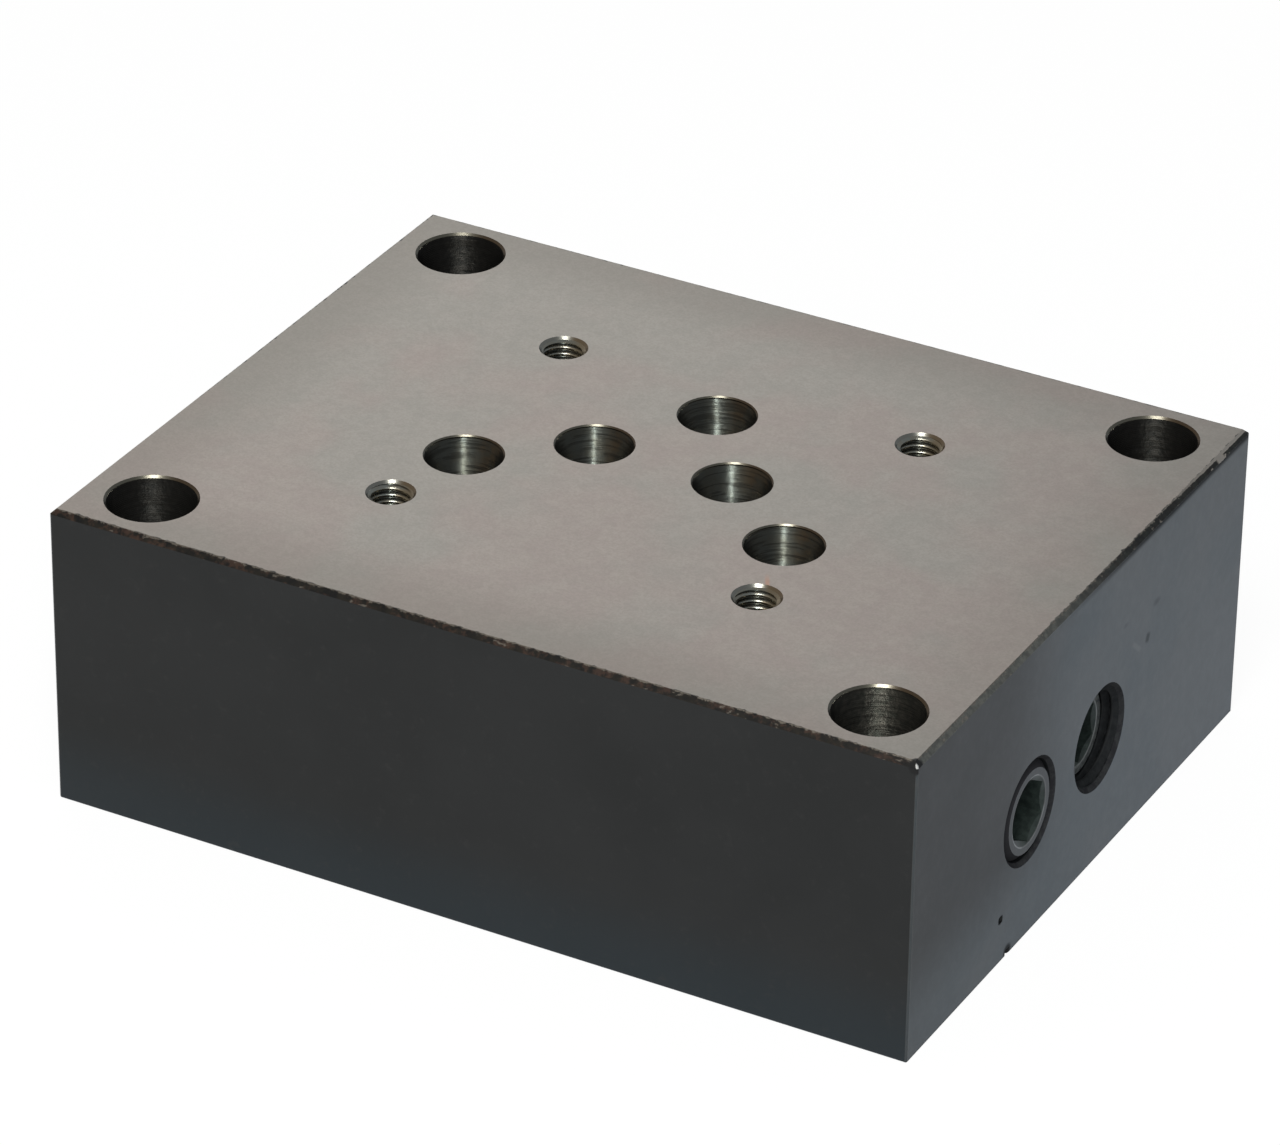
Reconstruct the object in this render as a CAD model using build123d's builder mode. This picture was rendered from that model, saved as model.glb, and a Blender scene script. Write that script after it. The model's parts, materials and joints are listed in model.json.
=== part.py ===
from build123d import *
import os
from math import radians, tan

# Hydraulic valve subplate, in millimetres
# +X runs along the block towards the end face with two plugs, +Y to the back, +Z up to the valve face
# The origin is the centre of the base

# Block: one piece of steel, its top outline chamfered and its other edges just broken
block_length = 126.0
block_width = 98.0
block_height = 44.0
top_chamfer = 0.7
edge_break = 0.2

# Valve screws: four tapped holes as wide as their thread, their pattern centred on the block
valve_screw_spacing_x = 54.0
valve_screw_spacing_y = 46.0
valve_screw_d = 6.0
valve_screw_thread_depth = 12.0
valve_screw_mouth_d = 6.7

# Valve ports: five drillings, each row set forward of the rear valve screws
port_d = 10.5
port_mouth_d = 10.9
port_drill_depth = 28.0
pressure_port_setback = 6.3
work_port_setback = 21.4
return_port_setback = 32.5
work_port_spacing = 20.6
return_port_spacing = 47.6

# Fixing holes: plain holes through the corners, set in from the end faces and from the long faces
fixing_end_margin = 10.0
fixing_side_margin = 9.0
fixing_hole_d = 12.0
fixing_mouth_d = 12.6

# Galleries: level drillings from the end faces that cut into the side of the port drillings
gallery_d = 10.0
gallery_height = 19.0
work_gallery_offset = 3.6
return_gallery_offset = 6.0
return_gallery_overrun = 2.0

# Tapped bores for the plugs, at the mouths of the galleries
plug_bore_d = 14.0
plug_bore_depth = 15.0
plug_bore_mouth_d = 15.1

# Plugs: threaded, with a hexagon socket, each set below the end face by its recess
plug_thread_clearance = 0.05
plug_length = 10.0
plug_face_d = 11.8
plug_socket_flats = 8.0
plug_socket_depth = 5.5
plug_socket_mouth_d = 9.7
plug_socket_mouth_angle = 120.0
plug_socket_turn = 30.0
return_plug_recess = 0.1
work_plug_recess = 2.7

# Line ports: tapped from below for pipe fittings, as wide as their thread
line_port_d = 21.0
line_port_thread_depth = 15.0
line_port_mouth_d = 22.4
pressure_line_port_y = 23.0
return_line_port_y = -17.5
work_line_port_x = 37.0

# Drill points and broken edges
drill_point_angle = 118.0
mouth_angle = 90.0

# Damage low on the end face with two plugs: two short grooves, a dent and a nick in the lower edge
groove_turn = 45.0
dent_side = 0.8
dent_length = 1.0
dent_y = -22.9
dent_height = 6.7
nick_side = 0.9
nick_length = 1.2
nick_y = -20.5
nick_height = 0.4

# Fixing pattern
fixing_spacing_x = block_length - 2 * fixing_end_margin
fixing_spacing_y = block_width - 2 * fixing_side_margin

# Rows of the valve pattern, from the back to the front
rear_screw_y = valve_screw_spacing_y / 2
pressure_port_y = rear_screw_y - pressure_port_setback
work_port_y = rear_screw_y - work_port_setback
return_port_y = rear_screw_y - return_port_setback
work_port_x = work_port_spacing / 2
return_port_x = return_port_spacing / 2

port_places = [
    (0, pressure_port_y),
    (-work_port_x, work_port_y),
    (work_port_x, work_port_y),
    (-return_port_x, return_port_y),
    (return_port_x, return_port_y),
]

# Work galleries start from both ends; the return gallery crosses from the right to the far return port
end_x = block_length / 2
work_gallery_y = work_port_y + work_gallery_offset
work_gallery_depth = end_x - work_port_x
return_gallery_y = return_port_y - return_gallery_offset
return_gallery_depth = end_x + return_port_x + return_gallery_overrun

line_port_places = [
    (0, pressure_line_port_y),
    (0, return_line_port_y),
    (-work_line_port_x, work_gallery_y),
    (work_line_port_x, work_gallery_y),
]

# Planes that the tools enter by, each pointing out of the steel
valve_face = Plane.XY.offset(block_height)
return_mouth = Plane(origin=(end_x, return_gallery_y, gallery_height), x_dir=(0, 1, 0), z_dir=(1, 0, 0))
port_b_mouth = Plane(origin=(end_x, work_gallery_y, gallery_height), x_dir=(0, 1, 0), z_dir=(1, 0, 0))
port_a_mouth = Plane(origin=(-end_x, work_gallery_y, gallery_height), x_dir=(0, -1, 0), z_dir=(-1, 0, 0))
line_port_mouths = [Plane(origin=(x, y, 0), z_dir=(0, 0, -1)) for x, y in line_port_places]
dent_place = Plane(origin=(end_x, dent_y, dent_height), x_dir=(0, 1, 0), z_dir=(1, 0, 0))
nick_place = Plane(origin=(end_x, nick_y, nick_height), x_dir=(0, 1, 0), z_dir=(1, 0, 0))

# What hangs below the plane it is placed on
hanging = (Align.CENTER, Align.CENTER, Align.MAX)


def drilling(diameter, depth):
    """A twist-drilled hole straight down from the origin, with the cone that the drill leaves."""
    radius = diameter / 2
    with BuildPart() as hole:
        Cylinder(radius, depth, align=hanging)
        with Locations((0, 0, -depth)):
            Cone(0, radius, radius / tan(radians(drill_point_angle / 2)), align=hanging)
    return hole.part


def countersink(diameter, angle):
    """A cone, point down from the origin, that opens the mouth of a hole to a diameter."""
    radius = diameter / 2
    with BuildPart() as mouth:
        Cone(0, radius, radius / tan(radians(angle / 2)), align=hanging)
    return mouth.part


# Block
with BuildPart() as subplate_block:
    with BuildSketch():
        Rectangle(block_length, block_width)
    extrude(amount=block_height)
    chamfer(subplate_block.faces().sort_by(Axis.Z)[-1].edges(), length=top_chamfer)
    upright_edges = subplate_block.edges().filter_by(Axis.Z)
    base_edges = subplate_block.faces().sort_by(Axis.Z)[0].edges()
    chamfer(upright_edges + base_edges, length=edge_break)

    # Valve ports and tapped screw holes
    with Locations(valve_face):
        with Locations(*port_places):
            add(drilling(port_d, port_drill_depth), mode=Mode.SUBTRACT)
            add(countersink(port_mouth_d, mouth_angle), mode=Mode.SUBTRACT)
        with GridLocations(valve_screw_spacing_x, valve_screw_spacing_y, 2, 2):
            add(drilling(valve_screw_d, valve_screw_thread_depth), mode=Mode.SUBTRACT)
            add(countersink(valve_screw_mouth_d, mouth_angle), mode=Mode.SUBTRACT)

    # Fixing holes, right through
    with Locations(valve_face):
        with GridLocations(fixing_spacing_x, fixing_spacing_y, 2, 2):
            CounterSinkHole(fixing_hole_d / 2, fixing_mouth_d / 2, counter_sink_angle=mouth_angle)

    # Galleries, with the tapped bores at their mouths
    with Locations(port_a_mouth, port_b_mouth):
        add(drilling(gallery_d, work_gallery_depth), mode=Mode.SUBTRACT)
    with Locations(return_mouth):
        add(drilling(gallery_d, return_gallery_depth), mode=Mode.SUBTRACT)
    with Locations(port_a_mouth, port_b_mouth, return_mouth):
        Hole(plug_bore_d / 2, depth=plug_bore_depth)
        add(countersink(plug_bore_mouth_d, mouth_angle), mode=Mode.SUBTRACT)

    # Line ports in the base
    with Locations(*line_port_mouths):
        add(drilling(line_port_d, line_port_thread_depth), mode=Mode.SUBTRACT)
        add(countersink(line_port_mouth_d, mouth_angle), mode=Mode.SUBTRACT)

    # Damage
    with Locations(dent_place):
        Box(dent_side, dent_length, dent_side, rotation=(0, groove_turn, 0), mode=Mode.SUBTRACT)
    with Locations(nick_place):
        Box(nick_side, nick_length, nick_side, rotation=(0, groove_turn, 0), mode=Mode.SUBTRACT)


def gallery_plug(mouth, recess):
    """A threaded plug set into the mouth of a gallery, with a hexagon socket in its outer face."""
    outer_face = mouth.offset(-recess)
    outward = Axis(outer_face.origin, outer_face.z_dir)
    thread_radius = plug_bore_d / 2 - plug_thread_clearance
    with BuildPart() as plug:
        with BuildSketch(outer_face):
            Circle(thread_radius)
        extrude(amount=-plug_length)
        chamfer(plug.faces().sort_by(outward)[-1].edges(), length=thread_radius - plug_face_d / 2)
        with BuildSketch(outer_face):
            RegularPolygon(plug_socket_flats / 2, 6, major_radius=False, rotation=plug_socket_turn)
        extrude(amount=-plug_socket_depth, mode=Mode.SUBTRACT)
        with Locations(outer_face):
            add(countersink(plug_socket_mouth_d, plug_socket_mouth_angle), mode=Mode.SUBTRACT)
    return plug.part


# Gallery plugs
return_gallery_plug = gallery_plug(return_mouth, return_plug_recess)
port_a_gallery_plug = gallery_plug(port_a_mouth, work_plug_recess)
port_b_gallery_plug = gallery_plug(port_b_mouth, work_plug_recess)

# Files, one for each piece
os.makedirs("parts", exist_ok=True)

subplate_block.part.label = "subplate_block"
export_step(subplate_block.part, "parts/subplate_block.step")

return_gallery_plug.label = "return_gallery_plug"
export_step(return_gallery_plug, "parts/return_gallery_plug.step")

port_a_gallery_plug.label = "port_a_gallery_plug"
export_step(port_a_gallery_plug, "parts/port_a_gallery_plug.step")

port_b_gallery_plug.label = "port_b_gallery_plug"
export_step(port_b_gallery_plug, "parts/port_b_gallery_plug.step")
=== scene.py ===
# %% [markdown]
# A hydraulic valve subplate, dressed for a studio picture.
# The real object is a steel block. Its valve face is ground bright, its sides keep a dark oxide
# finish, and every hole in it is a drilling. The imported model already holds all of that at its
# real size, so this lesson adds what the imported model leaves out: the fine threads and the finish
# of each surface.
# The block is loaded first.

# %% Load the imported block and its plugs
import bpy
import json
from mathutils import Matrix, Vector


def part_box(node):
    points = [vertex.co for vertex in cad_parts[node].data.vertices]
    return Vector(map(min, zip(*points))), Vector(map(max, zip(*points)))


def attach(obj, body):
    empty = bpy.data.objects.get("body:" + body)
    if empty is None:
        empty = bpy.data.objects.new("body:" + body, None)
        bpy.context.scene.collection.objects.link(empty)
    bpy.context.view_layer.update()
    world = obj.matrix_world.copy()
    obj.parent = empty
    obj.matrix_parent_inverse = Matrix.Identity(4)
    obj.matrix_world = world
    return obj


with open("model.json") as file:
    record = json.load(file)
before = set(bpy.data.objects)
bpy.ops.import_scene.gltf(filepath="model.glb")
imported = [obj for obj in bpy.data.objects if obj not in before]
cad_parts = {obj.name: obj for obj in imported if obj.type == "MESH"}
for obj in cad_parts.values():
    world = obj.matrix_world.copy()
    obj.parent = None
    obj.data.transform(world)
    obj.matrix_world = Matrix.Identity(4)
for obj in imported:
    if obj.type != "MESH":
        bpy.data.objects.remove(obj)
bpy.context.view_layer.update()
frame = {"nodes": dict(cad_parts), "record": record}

import bpy
import json
from math import cos, pi, radians, sin
from mathutils import Matrix, Vector

mm = 0.001

# %% [markdown]
# The record that comes with the model states where each hole is and how wide it is.
# Reading that from it keeps it in one spot: nothing here is measured a second time.

# %% Read the places of the holes from the record
mounts = {mount["name"]: mount for mount in frame["record"]["mounts"]}
half_length, half_width, block_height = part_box("subplate_block")[1]


def pattern_reach(name):
    """How far the holes of a rectangular pattern are from its middle, along X and along Y."""
    dims = mounts[name]["dims"]
    return dims["spacing_x_mm"] / 2 * mm, dims["spacing_y_mm"] / 2 * mm


screw_x, screw_y = pattern_reach("valve_screws")
fixing_x, fixing_y = pattern_reach("fixing_holes")
screw_places = [(side_x * screw_x, side_y * screw_y) for side_y in (1, -1) for side_x in (-1, 1)]
screw_radius = mounts["valve_screws"]["dims"]["hole_r_mm"] * mm
line_places = {name: mounts[name]["pos_m"][:2] for name in mounts if name.startswith("line_port_")}
line_radius = mounts["line_port_p"]["dims"]["r_mm"] * mm
print(len(screw_places), "screw holes and", len(line_places), "line ports")

# %% [markdown]
# The camera stands where the photographer stood: in front and to the right of the block, looking
# down at about thirty degrees through a long lens, which is why the far edges hardly shrink.
# It is aimed at a point inside the block and placed by two angles, so each value means something
# by itself. The lamps and the bright part of the sky are placed by such angles too.

# %% Camera
def direction(azimuth, elevation):
    """The way out to two angles in degrees: azimuth 0 is in front of the block, 90 to its right."""
    turn = radians(azimuth)
    rise = radians(elevation)
    return Vector((sin(turn) * cos(rise), -cos(turn) * cos(rise), sin(rise)))


camera_azimuth = 28.356
camera_elevation = 30.109
camera_roll = 0.830
camera_distance = 903.2 * mm
camera_target = Vector((-6.854, 8.360, 22.0)) * mm
camera_lens = 189.23

to_camera = direction(camera_azimuth, camera_elevation)
bpy.ops.object.camera_add(location=camera_target + to_camera * camera_distance)
camera = bpy.context.object
camera.name = "photo_camera"
camera.data.lens = camera_lens
camera.data.clip_start = 10 * mm
camera.data.clip_end = 50.0
aim = (-to_camera).to_track_quat("-Z", "Y").to_matrix()
roll = Matrix.Rotation(radians(camera_roll), 3, "Z")
camera.rotation_euler = (aim @ roll).to_euler()
bpy.context.scene.camera = camera
print("camera at", [round(value / mm, 1) for value in camera.location], "mm")

# %% [markdown]
# Shader maths reads best as a formula. This small class wraps one socket of a material, and sums,
# products and comparisons of such signals add the Math nodes by themselves.
# Every other node comes from one method: its settings are made first, then its sockets are
# filled.

# %% A signal that can be used in formulas
def fill_sockets(node, values):
    """Links signals to a node's sockets, given by name or number, or sets plain values on them."""
    for name, value in values.items():
        if isinstance(value, Signal):
            node.id_data.links.new(value.socket, node.inputs[name])
        else:
            node.inputs[name].default_value = value


class Signal:
    """One output socket of a material's node tree."""

    def __init__(self, socket):
        self.socket = socket

    def node(self, kind, settings=None, inputs=None, output=0):
        """Adds a node, sets it up, fills its sockets, and returns one of its outputs."""
        made = self.socket.id_data.nodes.new(kind)
        for name, value in (settings or {}).items():
            setattr(made, name, value)
        fill_sockets(made, inputs or {})
        return Signal(made.outputs[output])

    def math(self, operation, first, second=0.0):
        """A Math node on signals or numbers."""
        return self.node("ShaderNodeMath", {"operation": operation}, {0: first, 1: second})

    def root(self):
        """The square root of a signal."""
        return self.math("SQRT", self)

    def fraction(self):
        """What is left of a signal above its whole number."""
        return self.math("FRACT", self)

    def least(self, other):
        """The smaller of two signals."""
        return self.math("MINIMUM", self, other)

    def most(self, other):
        """The larger of two signals."""
        return self.math("MAXIMUM", self, other)

    def __add__(self, other):
        return self.math("ADD", self, other)

    __radd__ = __add__

    def __sub__(self, other):
        return self.math("SUBTRACT", self, other)

    def __rsub__(self, other):
        return self.math("SUBTRACT", other, self)

    def __mul__(self, other):
        return self.math("MULTIPLY", self, other)

    __rmul__ = __mul__

    def __truediv__(self, other):
        return self.math("DIVIDE", self, other)

    def __rtruediv__(self, other):
        return self.math("DIVIDE", other, self)

    def __pow__(self, other):
        return self.math("POWER", self, other)

    def __abs__(self):
        return self.math("ABSOLUTE", self)

    def __gt__(self, other):
        return self.math("GREATER_THAN", self, other)

    def __lt__(self, other):
        return self.math("LESS_THAN", self, other)

    def ramp(self, start, end):
        """Nought up to start and one from end on, with soft ends; start may be above end."""
        inputs = {"Value": self, "From Min": start, "From Max": end}
        return self.node("ShaderNodeMapRange", {"interpolation_type": "SMOOTHSTEP"}, inputs)

    def axis(self, letter):
        """One coordinate of a vector."""
        number = "XYZ".index(letter)
        return self.node("ShaderNodeSeparateXYZ", inputs={"Vector": self}, output=number)

    def scaled(self, x, y, z):
        """A vector stretched along each axis."""
        return self.node("ShaderNodeVectorMath", {"operation": "MULTIPLY"}, {0: self, 1: (x, y, z)})

    def noise(self, size, detail=2.0, roughness=0.5):
        """Noise with lumps of about a size in millimetres, on a place in millimetres."""
        inputs = {"Vector": self, "Scale": 1 / size, "Detail": detail, "Roughness": roughness}
        return self.node("ShaderNodeTexNoise", {"noise_dimensions": "3D"}, inputs)

    def mixed(self, first, second):
        """A colour between two colours, by this signal."""
        inputs = {0: self, 6: first, 7: second}
        return self.node("ShaderNodeMix", {"data_type": "RGBA"}, inputs, output=2)

    def relief(self):
        """A height in millimetres, as the way its slopes face."""
        inputs = {"Strength": 1.0, "Distance": mm, "Height": self}
        return self.node("ShaderNodeBump", inputs=inputs)


def distance(first, *others):
    """How far away something is, from its offsets along two or three directions."""
    return sum((other ** 2 for other in others), first ** 2).root()


print("signals ready")

# %% [markdown]
# A colour is given either as an eye sees it on a screen or, where it is nearly black, as the
# light it sends back. Each material starts with its shader and with the place on the piece in
# millimetres, so that every size in a formula is a real one. Where a surface is partly of another
# kind, such as dull dirt on shiny steel, a second shader is shown there instead, by a mask.

# %% Colours and materials
def light(red, green, blue):
    """A colour by the light it sends back, where 1 is white."""
    return red, green, blue, 1.0


def seen(red, green, blue):
    """A colour as an eye sees it on a screen, from 0 to 255, as the light it stands for."""
    levels = [channel / 255 for channel in (red, green, blue)]
    return light(*(
        level / 12.92 if level <= 0.04045 else ((level + 0.055) / 1.055) ** 2.4 for level in levels
    ))


def start_material(name):
    """A new material, its shader, and as signals the place in millimetres and the way it faces."""
    material = bpy.data.materials.new(name)
    material.use_nodes = True
    nodes = material.node_tree.nodes
    coordinates = nodes.new("ShaderNodeTexCoord").outputs
    place = Signal(coordinates["Object"]).scaled(1 / mm, 1 / mm, 1 / mm)
    return material, nodes["Principled BSDF"], place, Signal(coordinates["Normal"])


def show_instead(material, share, other):
    """Shows another shader instead of the material's own, as far as a mask says."""
    nodes = material.node_tree.nodes
    own = Signal(nodes["Principled BSDF"].outputs["BSDF"])
    mix = share.node("ShaderNodeMixShader", inputs={0: share, 1: own, 2: other})
    fill_sockets(nodes["Material Output"], {"Surface": mix})


white = light(1.0, 1.0, 1.0)
print("colours and materials ready")

# %% [markdown]
# Some shapes are made by moving only a part of a primitive. This helper picks that part by its
# place, with everything else deselected, as one would pick it with the mouse.

# %% Select vertices by their place
def select_where(condition):
    """In object mode, selects the vertices that meet a condition on their place, and no others."""
    mesh = bpy.context.object.data
    for part in (*mesh.polygons, *mesh.edges):
        part.select = False
    for vertex in mesh.vertices:
        vertex.select = condition(vertex.co)


print("vertices can be selected by place")

# %% [markdown]
# The stage is a plain floor, far larger than the picture. A single plane would hide the block's
# base from below, so the floor is a grid of nine fields. Its middle field is shrunk until it lies
# a little inside the block's outline, and is then deleted.

# %% Floor
floor_half = 6.0
floor_drop = 0.02 * mm
opening_margin = 2 * mm

bpy.ops.object.select_all(action="DESELECT")
bpy.ops.mesh.primitive_grid_add(x_subdivisions=3, y_subdivisions=3, size=2 * floor_half)
floor = bpy.context.object
floor.name = "studio_floor"
floor.location.z = -floor_drop
bpy.ops.object.transform_apply(location=True)
select_where(lambda place: abs(place.x) < floor_half / 2 and abs(place.y) < floor_half / 2)
field_half = floor_half / 3
shrink_x = (half_length - opening_margin) / field_half
shrink_y = (half_width - opening_margin) / field_half
bpy.ops.object.mode_set(mode="EDIT")
bpy.ops.mesh.select_mode(type="VERT")
bpy.ops.transform.resize(value=(shrink_x, shrink_y, 1), center_override=(0, 0, 0))
bpy.ops.mesh.select_mode(type="FACE")
bpy.ops.mesh.delete(type="FACE")
bpy.ops.object.mode_set(mode="OBJECT")
print("floor", floor_half * 2, "m across,", len(floor.data.polygons), "faces round the opening")

# %% [markdown]
# A pale floor under plain light comes out grey. The Light Path node makes most of it glow for the
# camera and for what mirrors it, so the background is white without more light on the steel, and
# the rest is an ordinary matt surface that keeps the block's soft shadow.
# Steel shows what it mirrors, so the glow has its own level for that, with painted light in it:
# a painted shade in front, where the photographer's side of the room was darker, and a painted
# pool of brighter, cooler light behind on the right.

# %% Floor finish
camera_glow = 0.92
mirror_glow = 0.80
front_near, front_far = -35.0, -75.0
painted_shade_level = 0.74
pool_x, pool_y = 78, 54
pool_core, pool_reach, tint_reach = 10, 90, 200
painted_pool_level = 1.13
painted_pool_colour = light(0.89, 0.96, 1.05)

floor_material, floor_shader, floor_place, _ = start_material("floor_white")
fill_sockets(floor_shader, {
    "Base Color": light(0.96, 0.96, 0.96),
    "Roughness": 0.9,
    "Specular IOR Level": 0.0,
})
rays = floor_material.node_tree.nodes.new("ShaderNodeLightPath").outputs
camera_ray = Signal(rays["Is Camera Ray"])
mirror_ray = Signal(rays["Is Glossy Ray"]).most(Signal(rays["Is Transmission Ray"]))
# Painted light on the floor, seen only in mirrors: a painted shade in front and a painted pool of
# cool light behind on the right.
painted_front_shade = floor_place.axis("Y").ramp(front_near, front_far)
from_pool = distance(floor_place.axis("X") - pool_x, floor_place.axis("Y") - pool_y)
painted_light_pool = from_pool.ramp(pool_reach, pool_core)
painted_pool_tint = from_pool.ramp(tint_reach, pool_core) * (1 - camera_ray)
mirror_level = 1 - painted_front_shade * (1 - painted_shade_level) + painted_light_pool * (painted_pool_level - 1)
glow_share = (camera_ray * camera_glow).most(mirror_ray * mirror_glow)
glow = glow_share.node("ShaderNodeEmission", inputs={
    "Color": painted_pool_tint.mixed(white, painted_pool_colour),
    "Strength": camera_ray + (1 - camera_ray) * mirror_level,
})
show_instead(floor_material, glow_share, glow)
floor.data.materials.append(floor_material)
print("floor glows for the camera by", camera_glow, "and in mirrors by", mirror_glow)

# %% [markdown]
# The sky matters as much as the lamps, because the steel mirrors it. It is dim and even, which
# keeps the holes dark, a little warm on the camera's left and a little cool on its right, as in
# the photograph.
# A wide soft patch of it in front is brighter: the bored walls mirror it as a glow beside their
# streak.
# The camera itself sees plain white, so a view that is nearly level has the same background.

# %% Sky
sky_low = 0.42
sky_high = 0.38
sky_warm = light(1.03, 1.00, 0.95)
sky_cool = light(0.95, 1.00, 1.06)
patch_light = 0.45
patch_way = direction(17, 36)
right_way = direction(camera_azimuth + 90, 0)

world = bpy.data.worlds.new("studio_sky")
world.use_nodes = True
bpy.context.scene.world = world
sky_nodes = world.node_tree.nodes
sky_place = Signal(sky_nodes.new("ShaderNodeTexCoord").outputs["Generated"])
sky_x, sky_y, sky_z = (sky_place.axis(letter) for letter in "XYZ")
to_patch = sky_x * patch_way.x + sky_y * patch_way.y + sky_z * patch_way.z
to_right = sky_x * right_way.x + sky_y * right_way.y
sky_light = sky_low + sky_z.ramp(0.55, 0.85) * (sky_high - sky_low)
sky_light = sky_light + to_patch.ramp(0.72, 0.98) * patch_light
sky_tint = to_right.ramp(-0.7, 0.7).mixed(sky_warm, sky_cool)
straight = Signal(sky_nodes.new("ShaderNodeLightPath").outputs["Is Camera Ray"])
fill_sockets(sky_nodes["Background"], {
    "Color": straight.mixed(sky_tint, white),
    "Strength": straight + (1 - straight) * sky_light,
})
print("sky from", sky_low, "to", sky_high)

# %% [markdown]
# Three softboxes do the rest. The key stands high in front and draws the glint on each far lip.
# A small one just above the camera draws the narrow streak down each bored wall. The third stands
# low behind on the left, where the ground face mirrors it, and makes that face brighter on its
# left.

# %% Lamps
def add_softbox(name, azimuth, elevation, away, size, power, colour):
    """A square soft lamp aimed at the block, so many metres away at two angles."""
    way = direction(azimuth, elevation)
    bpy.ops.object.light_add(type="AREA", location=way * away)
    lamp = bpy.context.object
    lamp.name = name
    lamp.data.shape = "SQUARE"
    lamp.data.size = size
    lamp.data.energy = power
    lamp.data.color = colour
    lamp.rotation_euler = (-way).to_track_quat("-Z", "Y").to_euler()


add_softbox("key_softbox", 20, 54, away=1.1, size=0.36, power=7.8, colour=(1.0, 1.0, 0.98))
add_softbox("streak_softbox", 29.5, 35, away=1.1, size=0.10, power=2.6, colour=(0.95, 1.0, 1.0))
add_softbox("sheen_softbox", 216, 30, away=1.0, size=0.55, power=0.88, colour=(1.0, 0.99, 0.97))

# %% [markdown]
# The threads in the real holes are single ridges that wind round between the cuts of a tap. A
# stack of rings would be simpler, but a ring does not climb. So the ridge's cross-section comes
# first, a small trapezium whose crest is rounded, and is swept along afterwards.
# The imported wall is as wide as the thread's outer diameter, so the ridge stands inwards from it,
# and its root is sunk a little into the steel so that no gap shows.

# %% Cross-section of a thread
root_sink = 0.02 * mm
root_share = 7 / 8
crest_share = 0.38
crest_round = 0.155


def thread_section(name, root_radius, crest_radius, pitch, depth):
    """A thread's cross-section as a closed line: a trapezium with a rounded crest, at a depth."""
    height = root_radius - crest_radius
    middle = crest_radius + height / 2
    bpy.ops.object.select_all(action="DESELECT")
    bpy.ops.mesh.primitive_plane_add(size=1, rotation=(pi / 2, 0, 0))
    section = bpy.context.object
    section.name = name
    section.dimensions = (height, pitch * root_share, 0)
    section.location = (middle, 0, -depth)
    bpy.ops.object.transform_apply(location=True, rotation=True, scale=True)
    select_where(lambda place: place.x < middle)
    bpy.ops.object.mode_set(mode="EDIT")
    bpy.ops.mesh.select_mode(type="VERT")
    bpy.ops.transform.resize(value=(1, 1, crest_share))
    bpy.ops.mesh.bevel(offset=pitch * crest_round, segments=3, affect="VERTICES")
    bpy.ops.mesh.select_all(action="SELECT")
    bpy.ops.mesh.delete(type="ONLY_FACE")
    bpy.ops.object.mode_set(mode="OBJECT")
    return section


print("crest", crest_share, "as wide as the root")

# %% [markdown]
# The Screw modifier turns the section round the hole's axis while it climbs by one pitch a turn.
# It leaves both ends open, so the doubles are merged, the ends are filled, and only then do the
# normals turn outwards, because an open shell has no inside to turn them from.

# %% Turns of a thread
def sweep_turns(section, pitch, length, steps):
    """Sweeps a section up along the hole's axis, one pitch a turn, and closes both ends."""
    screw = section.modifiers.new("turns", "SCREW")
    screw.axis = "Z"
    screw.screw_offset = pitch
    screw.iterations = int(length / pitch) + 1
    screw.steps = steps
    screw.render_steps = steps
    bpy.ops.object.modifier_apply(modifier="turns")
    bpy.ops.object.mode_set(mode="EDIT")
    bpy.ops.mesh.select_all(action="SELECT")
    bpy.ops.mesh.remove_doubles(threshold=0.001 * mm)
    bpy.ops.mesh.select_all(action="SELECT")
    bpy.ops.mesh.fill_holes(sides=0)
    bpy.ops.mesh.select_all(action="SELECT")
    bpy.ops.mesh.normals_make_consistent(inside=False)
    bpy.ops.object.mode_set(mode="OBJECT")


print("sections can be swept into turns")

# %% [markdown]
# A real thread has no full turn at the mouth, because the countersink took it away. The same is
# done here: a flat cone is cut out of the first turns. A bisect would leave an open or torn edge
# where its plane lies almost along the ridge, so the cut is a Boolean, which keeps the ridge a
# closed shape.

# %% Thread with its mouth cut
flat_angle = radians(32)
lead_slope = 0.55


def cut_away(piece, tool):
    """Takes a tool's shape out of a piece, and removes the tool."""
    bpy.ops.object.select_all(action="DESELECT")
    piece.select_set(True)
    bpy.context.view_layer.objects.active = piece
    cut = piece.modifiers.new("cut", "BOOLEAN")
    cut.operation = "DIFFERENCE"
    cut.solver = "EXACT"
    cut.object = tool
    bpy.ops.object.modifier_apply(modifier="cut")
    bpy.data.objects.remove(tool)
    bpy.ops.object.shade_smooth_by_angle(angle=flat_angle)


def thread_ridge(name, wall_radius, crest_radius, pitch, depth, mouth_radius, reach, steps):
    """A thread in a hole that hangs down from the origin, its first turns cut by a flat cone."""
    ridge = thread_section(name, wall_radius + root_sink, crest_radius, pitch, depth)
    sweep_turns(ridge, pitch, depth + reach, steps)
    above = reach + 2 * pitch
    tool_depth = above + (mouth_radius - wall_radius) + wall_radius * lead_slope
    bpy.ops.object.select_all(action="DESELECT")
    bpy.ops.mesh.primitive_cone_add(
        vertices=96,
        radius1=0,
        radius2=tool_depth / lead_slope,
        depth=tool_depth,
        location=(0, 0, above - tool_depth / 2),
    )
    cut_away(ridge, bpy.context.object)
    return ridge


def place_copy(original, name, matrix):
    """A copy with its own mesh, moved in its mesh so that its object stays at the origin."""
    copy = original.copy()
    copy.data = original.data.copy()
    copy.name = name
    bpy.context.scene.collection.objects.link(copy)
    copy.data.transform(matrix)
    return copy


print("threads can be made and copied")

# %% [markdown]
# The valve is held by four M6 screws, so these holes have a millimetre of pitch. One thread is
# modelled and copied into the four holes. A tap starts anywhere, so each copy is turned by
# another angle.

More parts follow.
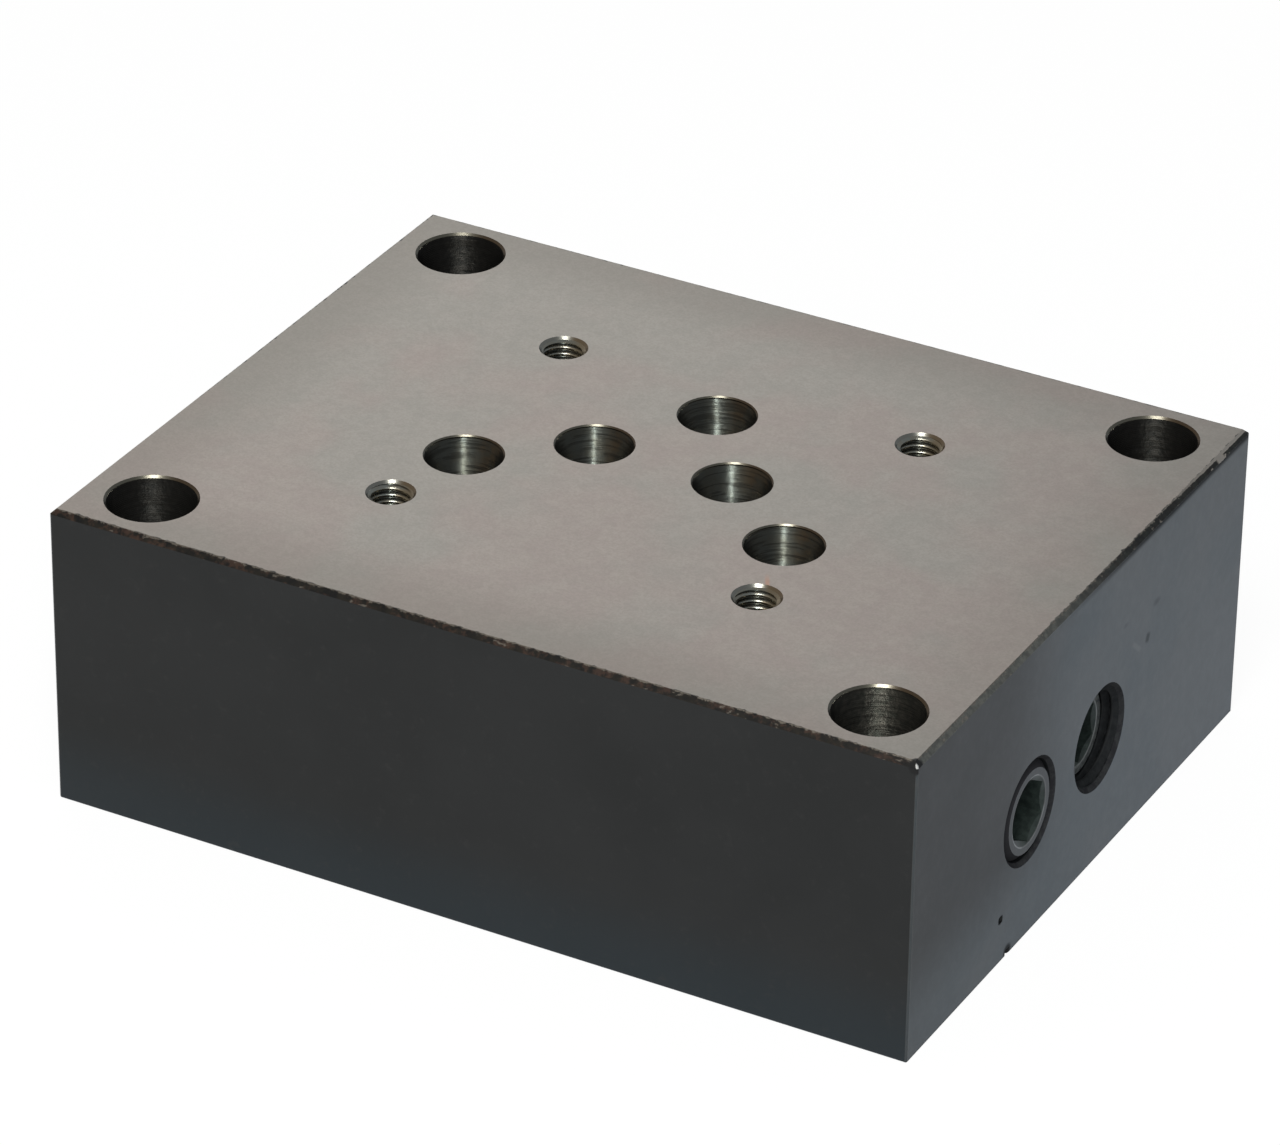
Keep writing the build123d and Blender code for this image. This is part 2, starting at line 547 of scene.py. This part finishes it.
# %% Threads of the valve screws
screw_thread = thread_ridge(
    "screw_thread",
    wall_radius=screw_radius,
    crest_radius=2.54 * mm,
    pitch=1.0 * mm,
    depth=12.0 * mm,
    mouth_radius=3.35 * mm,
    reach=1.0 * mm,
    steps=32,
)
threads = []
for number, (across, along) in enumerate(screw_places, start=1):
    start = Matrix.Rotation(radians(180 + 100 * number), 4, "Z")
    move = Matrix.Translation((across, along, block_height)) @ start
    threads.append(place_copy(screw_thread, f"valve_screw_thread_{number}", move))
size = [round(value / mm, 2) for value in screw_thread.dimensions]
print("screw thread", len(screw_thread.data.polygons), "faces,", size, "mm")
bpy.data.objects.remove(screw_thread)

# %% [markdown]
# The line ports in the base take pipe fittings, so their thread is the larger pipe thread,
# fourteen turns to the inch. The same helper makes it, and each copy is turned over, because
# these holes open downwards.

# %% Threads of the line ports
line_thread = thread_ridge(
    "line_thread",
    wall_radius=line_radius,
    crest_radius=9.4 * mm,
    pitch=1.814 * mm,
    depth=14.6 * mm,
    mouth_radius=11.2 * mm,
    reach=1.0 * mm,
    steps=48,
)
turn_over = Matrix.Rotation(pi, 4, "X")
for line_name, (across, along) in line_places.items():
    move = Matrix.Translation((across, along, 0)) @ turn_over
    threads.append(place_copy(line_thread, f"{line_name}_thread", move))
bpy.data.objects.remove(line_thread)
print(len(threads), "threads so far")

# %% [markdown]
# The plugs of the two work galleries sit below the end faces, so a turn and a half of the bore's
# own thread shows in front of each. It must not reach into the plug, so a large box cuts it off
# just above the plug's face. The plugs' own boxes say where that is.

# %% Threads in front of the recessed plugs
def plug_axis(node):
    """Where a plug's axis meets the end face, as a place along Y and a height."""
    low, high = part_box(node)
    return (low.y + high.y) / 2, (low.z + high.z) / 2


work_axis = plug_axis("port_b_gallery_plug")
return_axis = plug_axis("return_gallery_plug")
plug_recess = half_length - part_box("port_b_gallery_plug")[1].x
plug_gap = 0.03 * mm
bore_thread = thread_ridge(
    "bore_thread",
    wall_radius=7.0 * mm,
    crest_radius=6.2 * mm,
    pitch=1.5 * mm,
    depth=6.0 * mm,
    mouth_radius=7.55 * mm,
    reach=1.5 * mm,
    steps=48,
)
tool_size = 20 * mm
tool_top = -plug_recess + plug_gap
bpy.ops.object.select_all(action="DESELECT")
bpy.ops.mesh.primitive_cube_add(size=tool_size, location=(0, 0, tool_top - tool_size / 2))
cut_away(bore_thread, bpy.context.object)
for name, side in (("port_b_bore_thread", 1), ("port_a_bore_thread", -1)):
    mouth = Matrix.Translation((side * half_length, *work_axis))
    move = mouth @ Matrix.Rotation(side * pi / 2, 4, "Y")
    threads.append(place_copy(bore_thread, name, move))
bpy.data.objects.remove(bore_thread)
print("bore threads end", round(-tool_top / mm, 2), "mm below the end faces")

# %% [markdown]
# Every thread belongs to the block's steel, so it rides on the same body.

# %% Threads ride on the block
for thread in threads:
    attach(thread, "root")
print(len(threads), "threads,", sum(len(thread.data.polygons) for thread in threads), "faces")

# %% [markdown]
# One steel block carries several finishes, and where each one lies is plain from the place on the
# block: the valve face is the ground top, the oxide covers the outer sides and the base, a dark
# band runs along the chamfer, and whatever lies deeper in is a bored wall. Painting them by hand
# would not fit the holes as closely, so each mask is a formula on the place.

# %% Masks of the block's finishes
chamfer_size = 0.7
edge_break = 0.2
skin = 0.02
edge_x, edge_y, face_z = (size / mm for size in (half_length, half_width, block_height))

block_material, block_shader, place, facing = start_material("block_steel")
x, y, z = (place.axis(letter) for letter in "XYZ")
inset_x = edge_x - abs(x)
inset_y = edge_y - abs(y)
inset = inset_x.least(inset_y)
beside = edge_break + skin
on_top = (z > face_z - skin) * (facing.axis("Z") > 0.9)
on_breaks = (inset < beside) * (z < beside).most((inset_x < beside) * (inset_y < beside))
on_sides = (inset < skin).most(z < skin).most(on_breaks)
on_band = (inset < chamfer_size + skin) * (z > face_z - chamfer_size - skin) * (1 - on_top)
outer_skin = on_sides.most(on_band)
bored = (1 - on_top) * (1 - outer_skin)
right_end = (inset_x < skin) * (x > 0)
print("masks for a block of", edge_x * 2, "by", edge_y * 2, "by", face_z, "mm")

# %% [markdown]
# The ground face is bare steel. Grinding leaves it almost even, with faint warm and cool clouds
# where the wheel and the cutting fluid passed, and a very fine grain. A painted shade darkens it
# along its edges, less towards the right end.

# %% Ground face
cloud = (place.noise(17.0, detail=3.0) + (y - x) * 0.0011).ramp(0.38, 0.62)
patch = place.noise(3.6, detail=4.0, roughness=0.6).ramp(0.35, 0.65)
grain = place.noise(0.35, detail=2.0, roughness=0.7)
ground_warm = patch.mixed(seen(155, 146, 141), seen(163, 155, 149))
ground_cool = patch.mixed(seen(151, 148, 142), seen(160, 156, 150))
ground_colour = cloud.mixed(ground_warm, ground_cool)
grit = (grain * 0.6 + place.noise(1.1, detail=3.0, roughness=0.6) * 0.4).ramp(0.40, 0.60)
ground_colour = (grit * 0.20).mixed(ground_colour, seen(128, 124, 117))
# Painted shade along the edges of the ground face, weaker towards the right end.
painted_edge_shade = inset.ramp(16.0, 1.5) * (1 - x.ramp(15.0, 60.0) * 0.45)
ground_colour = (painted_edge_shade * 0.36).mixed(ground_colour, seen(118, 113, 106))
ground_rough = 0.40 + (grain - 0.5) * 0.10 + (patch - 0.5) * 0.03
ground_height = (grain - 0.5) * 0.004
print("ground face ready")

# %% [markdown]
# The sides keep a black oxide, a thin dark skin on smooth steel. It is nearly black by itself,
# and what makes it look grey is the pale room that it mirrors. It is bluer on the end faces and low
# down, partly from the oxide's own blue and partly as painted cool light from the right. It has a
# drier, duller part near the front of the right end, and it is paler on the upright edges.

# %% Oxide skin
haze = place.noise(22.0, detail=3.0).ramp(0.35, 0.65)
speckle = place.noise(1.6, detail=4.0, roughness=0.7)
dry_oxide = right_end * y.ramp(0.0, -26.0) * z.ramp(3.0, 18.0)
on_end_faces = (inset_x < 0.25) * (0.5 + haze * 0.5) * (1 - dry_oxide * 0.9)
# The blue on the end faces and low down is partly the oxide's own and partly painted cool light.
blue_oxide_and_cool_light = on_end_faces.most(z.ramp(14.0, 1.0) * 0.45)
oxide_colour = haze.mixed(light(0.0066, 0.0072, 0.0073), light(0.0090, 0.0096, 0.0098))
oxide_colour = blue_oxide_and_cool_light.mixed(oxide_colour, light(0.0040, 0.0130, 0.0190))
oxide_colour = (speckle.ramp(0.55, 0.75) * 0.4).mixed(oxide_colour, light(0.018, 0.018, 0.018))
on_upright = (inset_x < 0.30) * (inset_y < 0.30)
oxide_colour = (on_upright * (0.3 + speckle * 0.3)).mixed(oxide_colour, light(0.060, 0.062, 0.062))
oxide_rough = 0.36 + (speckle - 0.5) * 0.12 + haze * 0.04 + dry_oxide * 0.13
oxide_height = (speckle - 0.5) * 0.010
print("oxide ready")

# %% [markdown]
# The right end has been handled. High on it there are a few faint dark smudges and one pale
# scrape, and low on it are a dent and a nick, which are real dents in the imported block; their
# shadow is painted in, dark and matt.
# Each mark is a distance from its place on that face, as Y and height in millimetres.

# %% Marks on the right end
dot_place = (21.3, 31.4)
speck_place = (11.7, 32.6)
scuff_place = (19.0, 27.1)
scrape_place = (15.6, 27.4)
dent_place = (-22.9, 6.7)
nick_place = (-20.5, 0.6)


def off_spot(middle, length=1.0):
    """How far a place is from the middle of a spot that is so many times as long as it is high."""
    return distance((y - middle[0]) / length, z - middle[1])


def off_stroke(middle, run_y, run_z):
    """How far a place is along and across a straight stroke, from its middle and how it runs."""
    off_y = y - middle[0]
    off_z = z - middle[1]
    return abs(off_y * run_y + off_z * run_z), abs(off_y * run_z - off_z * run_y)


dot_gap = off_spot(dot_place, length=2.0)
speck_gap = off_spot(speck_place, length=2.0)
dent_gap = off_spot(dent_place)
nick_gap = off_spot(nick_place)
scuff_along, scuff_across = off_stroke(scuff_place, 0.35, 0.94)
scrape_along, scrape_across = off_stroke(scrape_place, 0.76, -0.65)
scuff = scuff_across.ramp(0.85, 0.25) * scuff_along.ramp(0.95, 0.35) * 0.42
smudges = (dot_gap.ramp(0.75, 0.15) * 0.22).most(scuff).most(speck_gap.ramp(0.5, 0.15) * 0.16)
# The shadows of the dent and the nick are painted shade, shown later by the matt shader.
painted_dent_shadows = dent_gap.ramp(0.80, 0.45).most(nick_gap.ramp(1.4, 0.7)) * 0.85
marks_and_painted_shadows = smudges.most(painted_dent_shadows) * (inset_x < 0.5) * (x > 0)
scrape = scrape_across.ramp(0.55, 0.15) * scrape_along.ramp(2.2, 1.0) * right_end
oxide_colour = (scrape * 0.5).mixed(oxide_colour, light(0.045, 0.048, 0.050))
print("six marks on the right end")

# %% [markdown]
# The chamfer was cut before the block was blackened and the face was ground after, so the band is
# dark.
# Along the front it is black with reddish specks. Along the right end it is a worn grey near the
# front and black farther back.

# %% Colour of the chamfer band
rag = place.noise(0.9, detail=4.0, roughness=0.7)
rag_share = rag.ramp(0.35, 0.65)
along_front = inset_y < inset_x
front_dark = rag_share.mixed(light(0.002, 0.002, 0.002), light(0.010, 0.008, 0.005))
end_pale = rag_share.mixed(light(0.034, 0.036, 0.033), light(0.064, 0.066, 0.060))
end_black = rag_share.mixed(light(0.002, 0.002, 0.002), light(0.010, 0.012, 0.010))
end_dark = y.ramp(-18.0, 14.0).mixed(end_pale, end_black)
band_dark = along_front.mixed(end_dark, front_dark)
red_noise = place.noise(1.3, detail=3.0, roughness=0.7)
specks = red_noise.ramp(0.46, 0.64) * (0.1 + along_front * 0.9)
band_colour = (specks * 0.34).mixed(band_dark, seen(84, 60, 49))
print("band coloured")

# %% [markdown]
# The wheel wore the band's upper border to bare steel in a ragged line, and more of it towards
# the back of the right end, where the band sits a little lower. Light breaks run across it, one
# chip is bare to the bottom, and in places the dark eats into the ground face.

# %% Wear of the chamfer band
chip_y = 40.3
band_height = (z - (face_z - chamfer_size)) / chamfer_size
lowered = (inset_x < inset_y) * (x > 0) * y.ramp(10.0, 44.0)
chipped = (inset_x < inset_y) * (x > 0) * abs(y - chip_y).ramp(1.3, 0.6)
upper_part = (band_height + (rag - 0.5) * 0.3 + lowered * 0.42).ramp(0.97, 1.05)
breaks = place.scaled(0.35, 0.35, 1.0).noise(0.6, detail=3.0, roughness=0.6).ramp(0.62, 0.70)
worn_band = (band_height + (rag - 0.5) * 1.3).ramp(0.80, 1.0).most(breaks * 0.7)
worn_band = worn_band.most(chipped).most(upper_part * lowered)
worn_colour = lowered.mixed(seen(112, 106, 98), seen(168, 161, 152))
ragged_inset = inset + (place.noise(1.3, roughness=0.6) - 0.5) * 1.0
eaten_top = on_top * ragged_inset.ramp(0.82, 0.66) * along_front.most(y > -14.0) * (1 - chipped)
print("band worn, with a chip at", chip_y, "mm")

# %% [markdown]
# A bored wall shows the rings that the tool leaves. Under a high lamp each ring catches the light
# in one place, and all of them together draw the upright streak that every port in the photograph
# has. Modelled rings would need far too many faces, so the wall gets a saw-tooth relief: the
# depth, counted in turns of the tool, and from that only the fraction. Depth is measured from the
# mouth of each drilling.

# %% Rings of the bored walls
feed = 0.28
tooth_slope = 0.62
bore_depth = 15.2
gallery_radius = 5.1
bore_radius = 7.6
fixing_reach = 7.0

from_work = distance(y - work_axis[0] / mm, z - work_axis[1] / mm)
from_return = distance(y - return_axis[0] / mm, z - return_axis[1] / mm)
from_gallery = from_work.least(from_return)
near_end = abs(x) > edge_x - bore_depth
in_gallery = (from_gallery < gallery_radius).most((from_gallery < bore_radius) * near_end)
depth = in_gallery * (edge_x - abs(x)) + (1 - in_gallery) * (face_z - z)
wobble = place.noise(2.5, roughness=0.6)
feed_turns = (depth + (wobble - 0.5) * 0.1) / feed
ring_noise = place.scaled(0.07, 0.07, 1.0).noise(0.42, roughness=0.6)
off_fixing_x = abs(abs(x) - fixing_x / mm)
off_fixing_y = abs(abs(y) - fixing_y / mm)
in_fixing = (off_fixing_x < fixing_reach) * (off_fixing_y < fixing_reach)
ring_height = feed_turns.fraction() * (feed * tooth_slope)
ring_height = ring_height + (ring_noise - 0.5) * 0.045 + in_fixing * (rag - 0.5) * 0.10
print("rings", feed, "mm apart")

# %% [markdown]
# The ports are grey inside, with a brown tint on the walls that face one side of each hole, which
# is a painted warm reflection.
# The fixing holes were left as drilled, rough and dark, and the one nearest the camera is paler
# inside.

# %% Colour of the bored walls
# The brown on the walls that face this side is a painted warm reflection.
warm_side = Vector((-0.880, -0.475))
stain = place.noise(3.0, detail=4.0, roughness=0.65).ramp(0.42, 0.62)
facing_warm_side = facing.axis("X") * warm_side.x + facing.axis("Y") * warm_side.y
port_colour = stain.mixed(seen(62, 64, 60), seen(60, 60, 54))
film_and_warm_reflection = facing_warm_side.ramp(0.15, 0.6) * (0.3 + stain * 0.7)
port_colour = film_and_warm_reflection.mixed(port_colour, seen(80, 68, 52))
fixing_dark = rag_share.mixed(seen(18, 18, 17), seen(28, 27, 25))
fixing_pale = rag_share.mixed(seen(36, 37, 33), seen(56, 54, 49))
fixing_colour = ((x > 0) * (y < 0)).mixed(fixing_dark, fixing_pale)
bored_colour = in_fixing.mixed(port_colour, fixing_colour)
bored_colour = (ring_noise.ramp(0.50, 0.62) * 0.55).mixed(bored_colour, seen(14, 13, 11))
print("bored walls coloured")

# %% [markdown]
# Each hole in the valve face has a small countersink, cut last and so the brightest steel in it,
# with the same painted warm reflection on one side. Those of the screw holes are paler.

# %% Mouths of the holes in the valve face
mouth_depth = 0.37
mouth_margin = 2.0
screw_reach = 4.0
off_screw_x = abs(abs(x) - screw_x / mm)
off_screw_y = abs(abs(y) - screw_y / mm)
by_screw = (off_screw_x < screw_reach) * (off_screw_y < screw_reach)
at_mouth = (z > face_z - mouth_depth) * (inset > mouth_margin)
mouth_clean = by_screw.mixed(seen(100, 97, 87), seen(126, 125, 118))
mouth_warm_reflection = by_screw.mixed(seen(92, 80, 66), seen(126, 112, 93))
# The brown on one side of each mouth is a painted warm reflection.
mouth_colour = facing_warm_side.ramp(0.12, 0.42).mixed(mouth_clean, mouth_warm_reflection)
bored_colour = at_mouth.mixed(bored_colour, mouth_colour)
print("mouths coloured down to", mouth_depth, "mm")

# %% [markdown]
# The bores of the plugs were blackened with the block. They are nearly black inside, and a little
# greyer on the countersink of their mouths, which has no rings.

# %% Bores of the plugs
bore_mouth_radius = 7.7
bore_mouth_depth = 0.58
plug_bore = (from_gallery < bore_mouth_radius) * near_end
plug_mouth = plug_bore * (abs(x) > edge_x - bore_mouth_depth)
plug_bore_colour = rag_share.mixed(light(0.006, 0.007, 0.0075), light(0.017, 0.018, 0.019))
plug_mouth_colour = rag_share.mixed(light(0.016, 0.016, 0.018), light(0.026, 0.027, 0.028))
bored_colour = plug_bore.mixed(bored_colour, plug_bore_colour)
bored_colour = plug_mouth.mixed(bored_colour, plug_mouth_colour)
ring_height = ring_height * (1 - at_mouth) * (1 - plug_mouth)
bored_rough = 0.23 + stain * 0.02 + in_fixing * (1 - at_mouth) * 0.08
print("plug bores blackened")

# %% [markdown]
# Now the masks choose a colour for each place, from the inside out: the bored walls, the skin
# over them, the ground face, and last the wear on the band.

# %% Colours of the block put together
skin_colour = on_band.mixed(oxide_colour, band_colour)
colour = outer_skin.mixed(bored_colour, skin_colour)
colour = on_top.mixed(colour, ground_colour)
colour = (on_band * worn_band).mixed(colour, worn_colour)
colour = eaten_top.mixed(colour, band_dark)
print("colours put together")

# %% [markdown]
# Two small things are left. A thin run of rust lies on the valve face behind the near right screw
# hole, and the block's near upper corner has been knocked: it is bright steel, partly bare and
# partly a painted highlight, with a painted dark shadow round it.

# %% Rust run and knocked corner
run_offset = 1.35
from_screw_x = x - screw_x / mm
from_screw_y = y + screw_y / mm
across = from_screw_x * -warm_side.x + from_screw_y * -warm_side.y
behind = from_screw_y * -warm_side.x + from_screw_x * warm_side.y
rust_run = on_top * abs(across - run_offset).ramp(0.45, 0.10) * behind.ramp(6.4, 3.2) * (behind > 0)
colour = (rust_run * (0.25 + rag * 0.4)).mixed(colour, seen(190, 128, 92))
from_corner = distance(x - edge_x, y + edge_y, z - face_z)
# A painted shadow round the knocked corner, and a bright spot that is partly a painted highlight.
painted_knock_shadow = (from_corner + (rag - 0.5) * 1.4).ramp(1.7, 1.3)
knock_and_painted_glint = (from_corner + (rag - 0.5) * 0.3).ramp(0.77, 0.65)
colour = painted_knock_shadow.mixed(colour, light(0.003, 0.003, 0.003))
colour = knock_and_painted_glint.mixed(colour, seen(225, 225, 222))
print("rust run and knocked corner added")

# %% [markdown]
# Bare steel is metal and the oxide is not, so the same masks give the shader its metallic value,
# its roughness, and the relief that a Bump node turns into shading.

# %% Shine and relief of the block
bare_band = on_band * worn_band
metal = on_top.most(bored).most(bare_band) * (1 - eaten_top)
metal = (metal * (1 - painted_knock_shadow)).most(knock_and_painted_glint)
rough = on_top * ground_rough + bored * bored_rough + outer_skin * oxide_rough
height = bored * ring_height + on_top * ground_height + outer_skin * oxide_height
fill_sockets(block_shader, {
    "Base Color": colour,
    "Metallic": metal,
    "Roughness": rough,
    "Normal": height.relief(),
    "Specular IOR Level": 0.27,
})
print("shader of the block filled")

# %% [markdown]
# Some places hardly shine at all: the blackened bores, the film on the other walls and the marks.
# Others get painted shade: the shadows of the dent and the nick, the band, a line just under it on
# the right end and a line just above the base. The shader's gloss has to be the same all over, so
# a plain matt shader is shown instead, fully or partly. The masks of those places give its share,
# and its colour is theirs.

# %% Dull places of the block
black = light(0.004, 0.004, 0.004)
# Painted shade: a dark line under the band on the right end, and one just above the base.
painted_shade_under_band = right_end * (1 - on_band) * z.ramp(42.2, 43.1) * y.ramp(-14.0, 20.0) * 0.75
painted_shade_above_base = (inset_x < 0.15) * (x > 0) * z.ramp(0.45, 0.15) * 0.5
edge_shade = painted_shade_under_band.most(painted_shade_above_base)
band_shade = on_band * (along_front * 0.20 + (1 - along_front) * y.ramp(0.0, 20.0) * 0.24)
dull_wall = bored * (1 - at_mouth) * (0.20 - in_fixing * (y > 0) * 0.05)
film_colour = in_fixing.mixed(seen(60, 59, 56), seen(52, 51, 49))
marks_and_shadows_colour = painted_dent_shadows.mixed(black, light(0.020, 0.021, 0.022))
matt_colour = (bored * (1 - plug_bore)).mixed(bored_colour, film_colour)
matt_colour = band_shade.most(edge_shade).ramp(0.0, 0.05).mixed(matt_colour, black)
matt_colour = (marks_and_painted_shadows > 0.01).mixed(matt_colour, marks_and_shadows_colour)
matt_share = (plug_bore * bored).most(marks_and_painted_shadows).most(dull_wall)
matt_share = matt_share.most(band_shade * (1 - worn_band)).most(edge_shade)
matt = matt_share.node("ShaderNodeBsdfDiffuse", inputs={"Color": matt_colour})
show_instead(block_material, matt_share, matt)
frame["nodes"]["subplate_block"].data.materials[0] = block_material
print(len(block_material.node_tree.nodes), "nodes in the block's material")

# %% [markdown]
# A tapped thread is cut steel: bright and finely grained, with a patchy brown film and a painted
# warm reflection on the same side of the hole as in the ports. The threads of the plugs' bores
# were blackened with the block, and are nearly black.

# %% Thread finish
def thread_finish(name, clean_colour, film_colour, metal, gloss):
    """Cut or blackened steel with a fine grain, a patchy film, and a painted warm reflection on one
    side of each hole.
    """
    material, shader, place, facing = start_material(name)
    facing_warm_side = facing.axis("X") * warm_side.x + facing.axis("Y") * warm_side.y
    film_and_warm_reflection = place.noise(1.2, detail=4.0, roughness=0.65).ramp(0.35, 0.65)
    # The part that follows the side a wall faces is a painted warm reflection.
    film_and_warm_reflection = (film_and_warm_reflection * 0.5 + facing_warm_side.ramp(0.0, 0.45) * 0.8).least(1.0)
    height = (place.noise(0.25, roughness=0.6) - 0.5) * 0.02
    fill_sockets(shader, {
        "Base Color": film_and_warm_reflection.mixed(clean_colour, film_colour),
        "Metallic": metal,
        "Roughness": 0.25 + film_and_warm_reflection * 0.06,
        "Normal": height.relief(),
        "Specular IOR Level": gloss,
    })
    return material


bright_thread = thread_finish(
    "bright_thread", seen(134, 137, 131), seen(136, 125, 106), metal=1.0, gloss=0.5
)
black_thread = thread_finish(
    "black_thread", light(0.012, 0.013, 0.014), light(0.024, 0.025, 0.026), metal=0.0, gloss=0.0
)
for thread in threads:
    thread.data.materials.clear()
    thread.data.materials.append(black_thread if "bore" in thread.name else bright_thread)
print("thread finish on", len(threads), "threads")

# %% [markdown]
# The plugs are blackened steel too: a thin bright line, which is a painted highlight, runs round
# the mouth of each socket, and the hexagon itself is dark and oily. The recessed plugs are worn
# paler. The outer chamfer lies in the groove between plug and bore, and gets painted shade: a
# darker colour and the matt shader.

# %% Plug finish
highlight_inner, highlight_outer = 4.70, 4.98
groove_radius = 5.88
work_face_radius = 6.0

plug_material, plug_shader, place, facing = start_material("plug_steel")
y, z = (place.axis(letter) for letter in "YZ")
from_work = distance(y - work_axis[0] / mm, z - work_axis[1] / mm)
from_return = distance(y - return_axis[0] / mm, z - return_axis[1] / mm)
from_axis = from_work.least(from_return)
oil = place.noise(0.9, detail=4.0, roughness=0.65)
oil_share = oil.ramp(0.3, 0.7)
face_colour = oil_share.mixed(light(0.016, 0.018, 0.020), light(0.027, 0.029, 0.031))
socket_colour = oil_share.mixed(light(0.010, 0.014, 0.013), light(0.022, 0.030, 0.027))
worn_face = (from_work < work_face_radius) * oil.ramp(0.30, 0.60) * 0.8
# Painted shade: the groove is darker and matt.
groove_painted_shade = from_axis > groove_radius
# Painted highlight: a bright ring round each socket's mouth, broken here and there.
highlight_ring = from_axis.ramp(highlight_inner, highlight_inner + 0.1) * from_axis.ramp(highlight_outer, highlight_outer - 0.1)
highlight_breaks = 0.35 + place.noise(3.0).ramp(0.40, 0.60) * 0.65
painted_socket_highlight = highlight_ring * (abs(facing.axis("X")) > 0.3) * highlight_breaks
plug_colour = worn_face.mixed(face_colour, light(0.085, 0.092, 0.090))
plug_colour = (from_axis < highlight_inner).mixed(plug_colour, socket_colour)
plug_colour = groove_painted_shade.mixed(plug_colour, light(0.005, 0.005, 0.0055))
plug_colour = painted_socket_highlight.mixed(plug_colour, seen(112, 114, 113))
plug_height = (oil - 0.5) * 0.02
fill_sockets(plug_shader, {
    "Base Color": plug_colour,
    "Metallic": painted_socket_highlight,
    "Roughness": 0.42 + (oil - 0.5) * 0.1,
    "Normal": plug_height.relief(),
    "Specular IOR Level": 0.15,
})
matt = groove_painted_shade.node("ShaderNodeBsdfDiffuse", inputs={"Color": light(0.020, 0.020, 0.022)})
show_instead(plug_material, groove_painted_shade, matt)
for node_name in ("return_gallery_plug", "port_a_gallery_plug", "port_b_gallery_plug"):
    frame["nodes"][node_name].data.materials[0] = plug_material
print("plug finish on three plugs")

# %% [markdown]
# The picture is shown plainly, so that a colour renders about as it is written.

# %% View
bpy.context.scene.view_settings.view_transform = "Standard"
